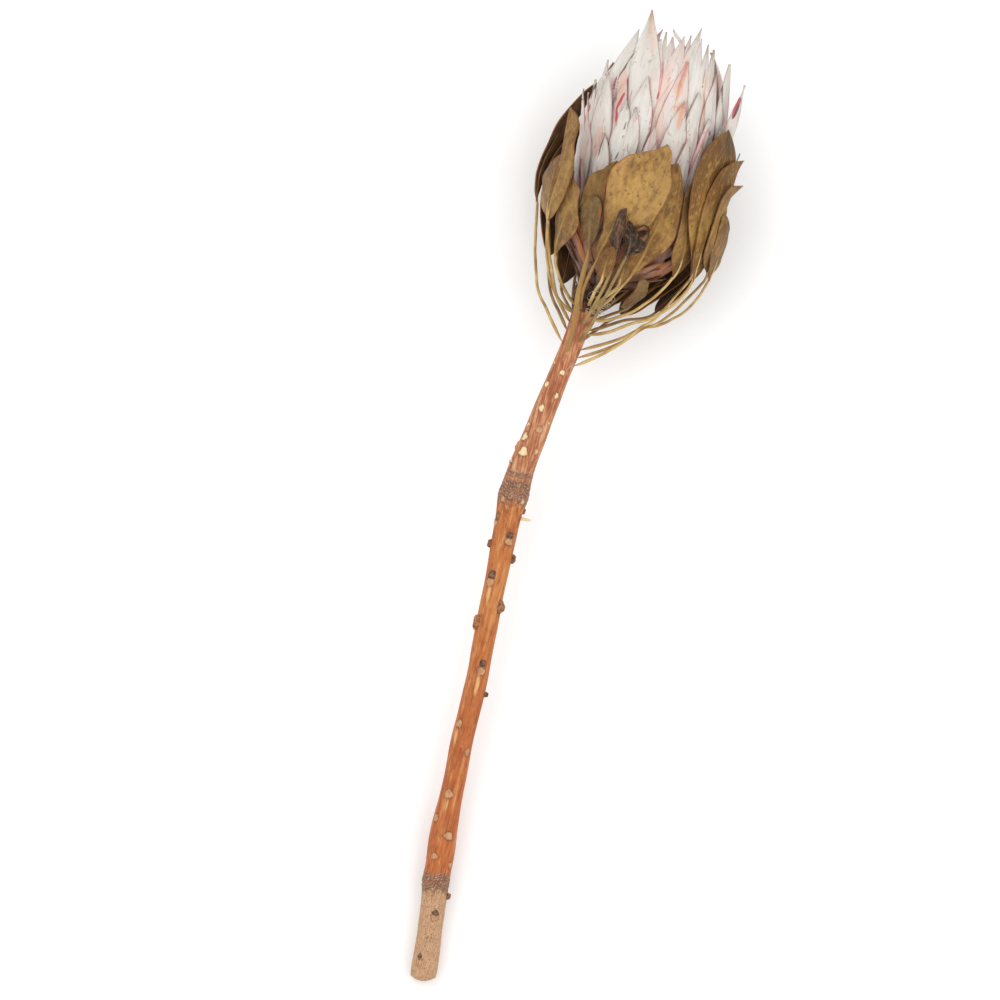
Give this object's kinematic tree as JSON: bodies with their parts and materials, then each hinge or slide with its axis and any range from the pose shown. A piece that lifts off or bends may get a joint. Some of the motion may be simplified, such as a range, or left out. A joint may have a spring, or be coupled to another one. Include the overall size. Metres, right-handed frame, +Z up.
{
  "type": "king protea flower",
  "caption": "Dried king protea head on a woody stem, laid down: pointed velvety bracts round a dome of florets, with a whorl of stalked leathery leaves.",
  "frame": {"origin": "middle of the bounding box in plan, on the ground the flower lies on", "axes": "+Y from the cut end of the stem to the tips of the bracts, +Z up from the ground, +X to the right seen from above"},
  "size_m": [0.1024, 0.4986, 0.0937],
  "materials": {
    "stem_bark": "matte",
    "base_scale": "matte",
    "bract": "matte",
    "floret": "matte",
    "leaf": "satin",
    "leaf_dark": "satin",
    "leaf_burnt": "matte"
  },
  "bodies": {
    "root": {"stem": "stem_bark", "base_scales": "base_scale", "bracts": "bract", "florets": "floret", "leaf_01": "leaf", "leaf_02": "leaf", "leaf_03": "leaf", "leaf_04": "leaf", "leaf_05": "leaf_dark", "leaf_06": "leaf", "leaf_07": "leaf", "leaf_08": "leaf_burnt", "leaf_09": "leaf_burnt", "leaf_10": "leaf", "leaf_11": "leaf", "leaf_12": "leaf", "leaf_13": "leaf", "leaf_14": "leaf", "leaf_15": "leaf", "leaf_16": "leaf", "leaf_17": "leaf_dark", "leaf_18": "leaf_dark", "leaf_19": "leaf_dark", "leaf_20": "leaf_dark", "leaf_21": "leaf_dark", "leaf_22": "leaf_dark", "leaf_23": "leaf_dark", "leaf_24": "leaf_dark", "leaf_25": "leaf_dark", "leaf_26": "leaf_dark"}
  },
  "joints": []
}
